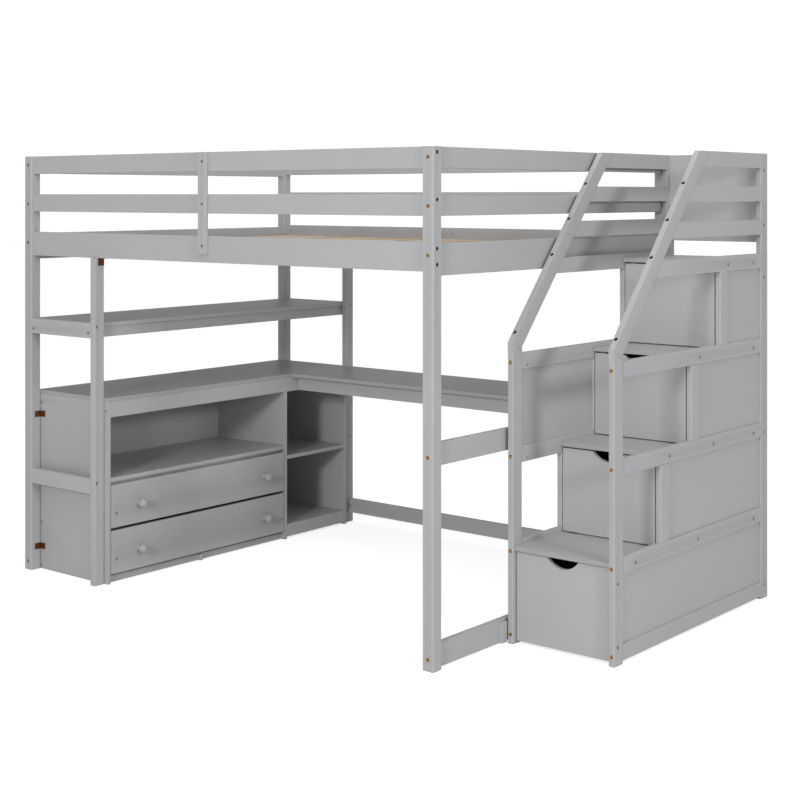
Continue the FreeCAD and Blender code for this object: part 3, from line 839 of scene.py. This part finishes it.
@dataclass
class BedFrame(SubAssembly):
    """Posts, guard rails, bed rails, stretchers and the slatted base.

    Args:
        slat_screw: the screws that hold the slats.
        screw_in: their distance from a slat's end.
        screw_across: where they stand across a slat, as parts of its width.
    """

    slat_screw: Screw = Screw(radius=0.0038, rise=0.0004)
    screw_in: float = 0.011
    screw_across: tuple = (0.25, 0.75)

    def build(self) -> None:
        """Dresses the frame and screws its slats down."""
        self.solid_wood(
            "front_left_post", "front_right_post", "back_left_post", "back_right_post", "desk_posts",
            "front_guard_rails", "back_guard_rails", "end_guard_rails", "front_guard_stile", "front_bed_rail",
            "back_bed_rail", "end_bed_rails", "end_stretchers", "stretcher_block", "back_lower_rail")
        dress("bed_slats", self.palette.pine(Grain.ALONG_Y))
        dress("slat_supports", self.palette.pine(Grain.ALONG_X))
        self.slat_screws()

    def slat_screws(self) -> None:
        """Two screws at each end of every slat."""
        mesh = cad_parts["bed_slats"].data
        places = []
        for faces in members(mesh):
            low, high = extent(mesh, faces)
            for part in self.screw_across:
                x = low.x + (high.x - low.x) * part
                for y in (low.y + self.screw_in, high.y - self.screw_in):
                    places.append(Vector((x, y, high.z)))
        screws = self.slat_screw.row(places, Vector((0.0, 0.0, 1.0)), "slat_screws")
        self.fit(screws, "bed_frame", "zinc_runners", Metal.ZINC)


@dataclass
class ShelfAndDesk(SubAssembly):
    """The shelf on its cross rails and the two wings of the desk."""

    def build(self) -> None:
        """Dresses the boards."""
        self.solid_wood("shelf_aprons", "end_cross_rails", "desk_aprons")
        for node, grain in (("shelf_board", Grain.ALONG_Y), ("desk_side_top", Grain.ALONG_Y),
                            ("desk_back_top", Grain.ALONG_X)):
            self.paint_top_shade(node, grain)

    def paint_top_shade(self, node: str, grain: Grain) -> None:
        """Gives a board a deeper grey upper face, which is painted shade, over its lighter painted edges.

        Args:
            node: the board's node.
            grain: the direction of its pattern.
        """
        self.sheets(grain, node)
        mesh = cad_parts[node].data
        # Upward faces take the deeper grey as painted shade; the edges keep the plain paint.
        mesh.materials.append(self.palette.desk_top(grain))
        for face in mesh.polygons:
            face.material_index = 1 if face.normal.z > SQUARE else 0


@dataclass
class DrawerCabinet(SubAssembly):
    """Cabinet panels, shelves and the two drawers with their turned knobs.

    Args:
        near_in: the near front screw's distance from the front's near edge.
        far_in: the far one's distance from its far edge.
        screw_down: their distance below its top edge.
        pocket: depth of the drilled pockets that they sit in.
        head_up: how far a head is set above its pocket's floor.
        collar: how far a knob's collar stands round its base.
        collar_thick: the collar's thickness.
        collar_slope: width of its sloped face, as a part of its stand.
        collar_crown: how far its inner face is raised, as a part of its thickness.
        collar_ease: width of the rounding on its edges, as a part of its thickness.
        collar_sides: sides of its round.
        base_slack: how far from the drawer front a knob's base ring may lie.
        pin_in: the panel pins' distance from the back panel's edge.
        pins_across: pins along its top and along its bottom.
        pins_up: pins up each of its sides, corners included.
        front_screw: the screws in the drawer fronts.
        pin: the panel pins.
    """

    near_in: float = 0.026
    far_in: float = 0.012
    screw_down: float = 0.108
    pocket: float = 0.0025
    head_up: float = 0.0006
    collar: float = 0.0010
    collar_thick: float = 0.0022
    collar_slope: float = 1.2
    collar_crown: float = 0.3
    collar_ease: float = 0.22
    collar_sides: int = 40
    base_slack: float = 0.0005
    pin_in: float = 0.012
    pins_across: int = 11
    pins_up: int = 6
    front_screw: Screw = Screw(radius=0.0036, rise=0.0009)
    pin: Screw = Screw(radius=0.0020, rise=0.0003, recess=0.0005)

    def build(self) -> None:
        """Dresses the cabinet and adds its screws, collars and pins."""
        self.solid_wood("cabinet_plinths", "drawer_top_rail", "upper_drawer_knobs", "lower_drawer_knobs")
        self.sheets(Grain.ALONG_Z, "cabinet_end_panel", "cabinet_divider", "cabinet_far_panel")
        self.sheets(
            Grain.ALONG_Y, "cabinet_back_panel", "niche_shelf", "open_shelf_boards",
            "upper_drawer_front", "lower_drawer_front", "upper_drawer_tray", "lower_drawer_tray")
        dress("drawer_runners", self.palette.metal(Metal.ZINC))
        for drawer in ("upper_drawer", "lower_drawer"):
            self.front_screws(drawer)
            self.knob_collars(drawer)
        self.back_pins()

    def front_screws(self, drawer: str) -> None:
        """A small brass screw near each end of a drawer front.

        Args:
            drawer: the drawer's body.
        """
        low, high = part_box(drawer + "_front")
        seat = high.x - self.pocket + self.head_up
        across = (low.y + self.near_in, high.y - self.far_in)
        places = [Vector((seat, y, high.z - self.screw_down)) for y in across]
        screws = self.front_screw.row(places, Vector((1.0, 0.0, 0.0)), drawer + "_front_screws")
        self.fit(screws, drawer, "brass_bolts", Metal.COPPER)

    def knob_collars(self, drawer: str) -> None:
        """A turned collar round the base of each knob.

        Args:
            drawer: the drawer's body.
        """
        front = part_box(drawer + "_front")[1].x
        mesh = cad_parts[drawer + "_knobs"].data
        collars = []
        for faces in members(mesh):
            base = [point for point in corners(mesh, faces) if point.x < front + self.base_slack]
            mid = sum(base, Vector()) / len(base)
            radius = max((point - mid).length for point in base)
            ring = fresh(bpy.ops.mesh.primitive_cylinder_add, vertices=self.collar_sides,
                         radius=radius + self.collar, depth=self.collar_thick,
                         rotation=(0.0, math.pi / 2, 0.0),
                         location=(front + self.collar_thick / 2, mid.y, mid.z))
            pick_faces(ring, lambda face: face.normal.z > SQUARE)
            bpy.ops.object.mode_set(mode="EDIT")
            bpy.ops.mesh.inset(thickness=self.collar * self.collar_slope)
            bpy.ops.transform.translate(value=(self.collar_thick * self.collar_crown, 0.0, 0.0))
            bpy.ops.object.mode_set(mode="OBJECT")
            soften(ring, self.collar_thick * self.collar_ease, 3)
            collars.append(ring)
        whole = join(collars, drawer + "_knob_collars")
        whole.data.materials.clear()
        whole.data.materials.append(self.palette.paint(Grain.ALONG_X))
        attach(whole, drawer)

    def back_pins(self) -> None:
        """Panel pins round the cabinet's thin back panel."""
        low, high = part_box("cabinet_back_panel")
        near, far = low.y + self.pin_in, high.y - self.pin_in
        bottom, top = low.z + self.pin_in, high.z - self.pin_in
        turns = [Vector((low.x, y, z)) for y, z in ((near, bottom), (far, bottom), (far, top), (near, top))]
        places = spread(turns[0], turns[1], self.pins_across)
        places += spread(turns[2], turns[3], self.pins_across)
        places += spread(turns[1], turns[2], self.pins_up)[1:-1]
        places += spread(turns[3], turns[0], self.pins_up)[1:-1]
        pins = self.pin.row(places, Vector((-1.0, 0.0, 0.0)), "back_panel_pins")
        self.fit(pins, "bed_frame", "zinc_runners", Metal.ZINC)


@dataclass
class StorageStair(SubAssembly):
    """Side frames, handrails, treads, the stair drawer and three drop-down doors.

    Args:
        edge: distance of the back screws from the boards' sides.
        end: distance of the first and last screw from the boards' outer ends.
        board_top: the back board's top screws, below the guard board's top.
        guard_low: the guard board's lowest screws, below its top.
        board_screws: screws down each side of the back board.
        guard_screws: screws down each side of the guard board.
        back_screw: the screws themselves.
    """

    edge: float = 0.010
    end: float = 0.04
    board_top: float = 0.45
    guard_low: float = 0.28
    board_screws: int = 8
    guard_screws: int = 3
    back_screw: Screw = Screw(radius=0.0035, rise=0.0004)

    def build(self) -> None:
        """Dresses the stair and screws its back board on."""
        self.solid_wood(
            "stair_left_frame", "stair_right_frame", "stair_left_handrail", "stair_right_handrail",
            "stair_guard_slats", "door_stops")
        self.sheets(Grain.ALONG_Y, "stair_left_panels", "stair_right_panels", "stair_drawer_tray")
        self.sheets(
            Grain.ALONG_X, "stair_treads", "stair_drawer_front", "step_door_2", "step_door_3", "step_door_4")
        self.sheets(Grain.ALONG_Z, "stair_back_boards")
        for node in ("tread_hinge_leaves", "step_door_2_hinges", "step_door_3_hinges", "step_door_4_hinges"):
            dress(node, self.palette.metal(Metal.BRONZE))
        self.back_screws()

    def back_screws(self) -> None:
        """A row of screws down each side of the back board and its guard board."""
        low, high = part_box("stair_back_boards")
        places = []
        for x in (low.x + self.edge, high.x - self.edge):
            for bottom, top, count in (
                    (low.z + self.end, high.z - self.board_top, self.board_screws),
                    (high.z - self.guard_low, high.z - self.end, self.guard_screws)):
                places += spread(Vector((x, high.y, bottom)), Vector((x, high.y, top)), count)
        screws = self.back_screw.row(places, Vector((0.0, 1.0, 0.0)), "stair_back_screws")
        self.fit(screws, "bed_frame", "zinc_runners", Metal.ZINC)


@dataclass
class Hardware(SubAssembly):
    """Corner brackets with their screws, bolt heads and barrel nuts.

    Args:
        plate: the brackets' thickness.
        folded_top: brackets whose top is lower than this have a second leg to screw.
        bracket_screw: the screws that hold them.
    """

    plate: float = 0.002
    folded_top: float = 0.8
    bracket_screw: Screw = Screw(radius=0.0031, rise=0.0010)

    def build(self) -> None:
        """Plates the fittings and screws the brackets on."""
        dress("corner_brackets", self.palette.metal(Metal.BRONZE))
        dress("bolt_heads", self.palette.metal(Metal.COPPER))
        dress("barrel_nuts", self.palette.metal(Metal.OILED))
        self.bracket_screws()

    def bracket_screws(self) -> None:
        """One screw in each leg of the folded brackets."""
        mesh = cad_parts["corner_brackets"].data
        along_x, along_y = [], []
        for faces in members(mesh):
            low, high = extent(mesh, faces)
            mid = (low + high) / 2
            along_x.append(Vector((low.x + self.plate, mid.y, mid.z)))
            if high.z < self.folded_top:
                along_y.append(Vector((mid.x, high.y - self.plate, mid.z)))
        for places, out, name in (
                (along_x, Vector((1.0, 0.0, 0.0)), "bracket_side_screws"),
                (along_y, Vector((0.0, -1.0, 0.0)), "bracket_front_screws")):
            self.fit(self.bracket_screw.row(places, out, name), "bed_frame", "bronze_steel", Metal.BRONZE)


# ------------------------------------------------------------------ room and camera
@dataclass(frozen=True)
class Lamp:
    """A square soft light.

    Args:
        name: its name.
        place: where it stands, in metres.
        aim: the point that it faces.
        size: its side, in metres.
        power: its power, in watts.
    """

    name: str
    place: tuple
    aim: tuple
    size: float
    power: float

    def build(self) -> None:
        """Sets up the light and turns it to its aim."""
        data = bpy.data.lights.new(self.name, "AREA")
        data.size = self.size
        data.energy = self.power
        lamp = bpy.data.objects.new(self.name, data)
        lamp.location = self.place
        lamp.rotation_euler = (Vector(self.aim) - Vector(self.place)).to_track_quat("-Z", "Y").to_euler()
        bpy.context.scene.collection.objects.link(lamp)


@dataclass
class Studio:
    """Pale floor, soft lights and the camera.

    Args:
        lens: focal length in millimetres.
        sensor: width of the camera's sensor in millimetres.
        eye: the camera's place in metres.
        heading: its turn about the vertical, in degrees.
        drop: the frame's vertical shift.
        ambient: strength of the room's even light.
        backdrop: strength of the room's walls as the camera sees them.
        floor_side: the floor's side in metres.
        lamps: the soft lights.
    """

    lens: float = 67.39
    sensor: float = 36.0
    eye: tuple = (3.600, -4.302, 1.45)
    heading: float = 39.27
    drop: float = -0.2566
    ambient: float = 0.45
    backdrop: float = 1.05
    floor_side: float = 60.0
    lamps: tuple = (
        Lamp("side_light", (7.4, -2.2, 2.9), (0.2, 0.0, 1.0), 1.0, 146.0),
        Lamp("front_light", (2.2, -7.4, 2.8), (0.0, 0.0, 1.0), 1.0, 196.0),
        Lamp("top_light", (0.6, -0.8, 5.6), (0.4, 0.0, 1.0), 4.0, 75.0),
    )

    def build(self) -> None:
        """Makes the floor, lights, world and camera."""
        floor = fresh(bpy.ops.mesh.primitive_plane_add, size=self.floor_side, location=(0.0, 0.0, 0.0))
        floor.name = "studio_floor"
        floor.data.materials.append(PaleFloor().build())
        self.light_room()
        for lamp in self.lamps:
            lamp.build()
        self.set_camera()

    def light_room(self) -> None:
        """Gives the room a white backdrop and a dimmer even light."""
        world = bpy.data.worlds.new("soft_room")
        world.use_nodes = True
        tree = world.node_tree
        glow = tree.nodes["Background"]
        glow.inputs["Color"].default_value = (1.0, 1.0, 1.0, 1.0)
        path = tree.nodes.new("ShaderNodeLightPath")
        level = tree.nodes.new("ShaderNodeMapRange")
        level.inputs["To Min"].default_value = self.ambient
        level.inputs["To Max"].default_value = self.backdrop
        tree.links.new(path.outputs["Is Camera Ray"], level.inputs["Value"])
        tree.links.new(level.outputs["Result"], glow.inputs["Strength"])
        bpy.context.scene.world = world

    def set_camera(self) -> None:
        """Sets the camera level with its frame shifted down to the bed."""
        lens = bpy.data.cameras.new("camera")
        lens.lens = self.lens
        lens.sensor_width = self.sensor
        lens.shift_y = self.drop
        camera = bpy.data.objects.new("camera", lens)
        camera.location = self.eye
        camera.rotation_euler = (math.radians(90.0), 0.0, math.radians(self.heading))
        bpy.context.scene.collection.objects.link(camera)
        bpy.context.scene.camera = camera
        bpy.context.scene.view_settings.view_transform = "Standard"


def main() -> None:
    """Builds the bed's looks sub-assembly by sub-assembly, then the room."""
    palette = Palette()
    for kind in (BedFrame, ShelfAndDesk, DrawerCabinet, StorageStair, Hardware):
        LOG.info("building %s", kind.__name__)
        kind(palette).build()
    Studio().build()


if __name__ == "__main__":
    logging.basicConfig(level=logging.INFO, format="%(message)s")
    main()
